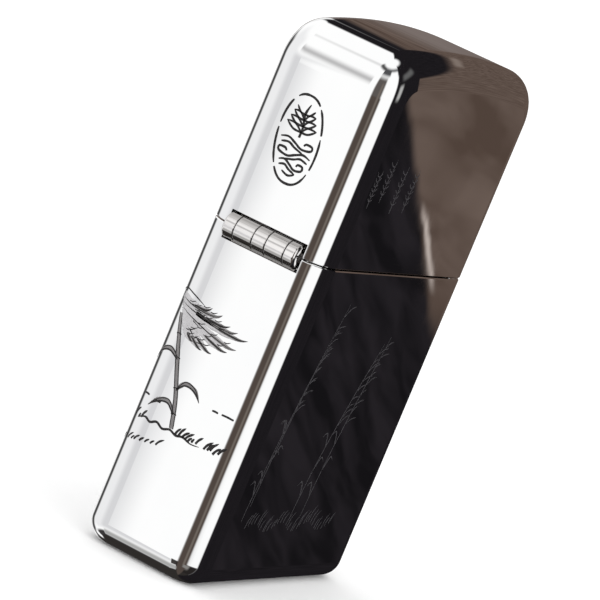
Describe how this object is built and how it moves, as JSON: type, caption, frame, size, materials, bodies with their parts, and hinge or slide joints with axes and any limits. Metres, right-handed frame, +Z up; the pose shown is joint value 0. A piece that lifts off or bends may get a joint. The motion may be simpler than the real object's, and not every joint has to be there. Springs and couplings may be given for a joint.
{
  "type": "lighter",
  "caption": "Flip-top windproof pocket lighter: thick polished case and hinged domed lid round a burner insert with wick, striker wheel, spring-fed flint and sprung cam lever.",
  "frame": {"origin": "middle of the base plane, on which the lighter stands", "axes": "+Z up through the lid; X along the width with the hinge on the -X side; -Y is the front"},
  "size_m": [0.0379, 0.0138, 0.057],
  "materials": {
    "mirror_chrome": "mirror polished plate over brass",
    "rivet_steel": "plain bright",
    "insert_steel": "drawn sheet, faint brushing",
    "spring_steel": "bright spring temper",
    "wheel_steel": "hardened, dark between the teeth",
    "brass": "turned",
    "flint_alloy": "matt, pressed",
    "wick_cotton": "braided cotton, charred at the tip",
    "cotton_packing": "loose fibre",
    "felt": "pressed felt"
  },
  "bodies": {
    "case": {"case_shell": "mirror_chrome", "case_hinge_leaf": "mirror_chrome", "hinge_pin": "rivet_steel", "wheel_axle": "rivet_steel", "cam_rivet": "rivet_steel", "insert_sleeve": "insert_steel", "insert_deck": "insert_steel", "wind_guard": "insert_steel", "cam_spring": "spring_steel", "flint_spring": "spring_steel", "flint_tube": "brass", "flint_screw": "brass", "flint_plunger": "brass", "flint": "flint_alloy", "wick": "wick_cotton", "felt_pad": "felt", "cotton_1": "cotton_packing", "cotton_2": "cotton_packing", "cotton_3": "cotton_packing", "cotton_4": "cotton_packing", "cotton_5": "cotton_packing"},
    "lid": {"lid_shell": "mirror_chrome", "lid_hinge_leaf": "mirror_chrome"},
    "cam": {"cam_lever": "insert_steel"},
    "wheel": {"flint_wheel": "wheel_steel"}
  },
  "joints": [
    {"name": "lid_hinge", "type": "hinge", "parent": "case", "child": "lid", "pos_m": [-0.01835, 0, 0.0343], "axis": [0, -1, 0], "range_deg": [0, 130]},
    {"name": "cam_pivot", "type": "hinge", "parent": "case", "child": "cam", "pos_m": [-0.013, 0, 0.0392], "axis": [0, -1, 0], "range_deg": [0, 32.5]},
    {"name": "wheel_spin", "type": "hinge", "parent": "case", "child": "wheel", "pos_m": [0.0102, 0, 0.042], "axis": [0, -1, 0], "continuous": true}
  ],
  "couplings": [
    {"joint": "cam_pivot", "follows": "lid_hinge", "ratio": 0.25}
  ]
}
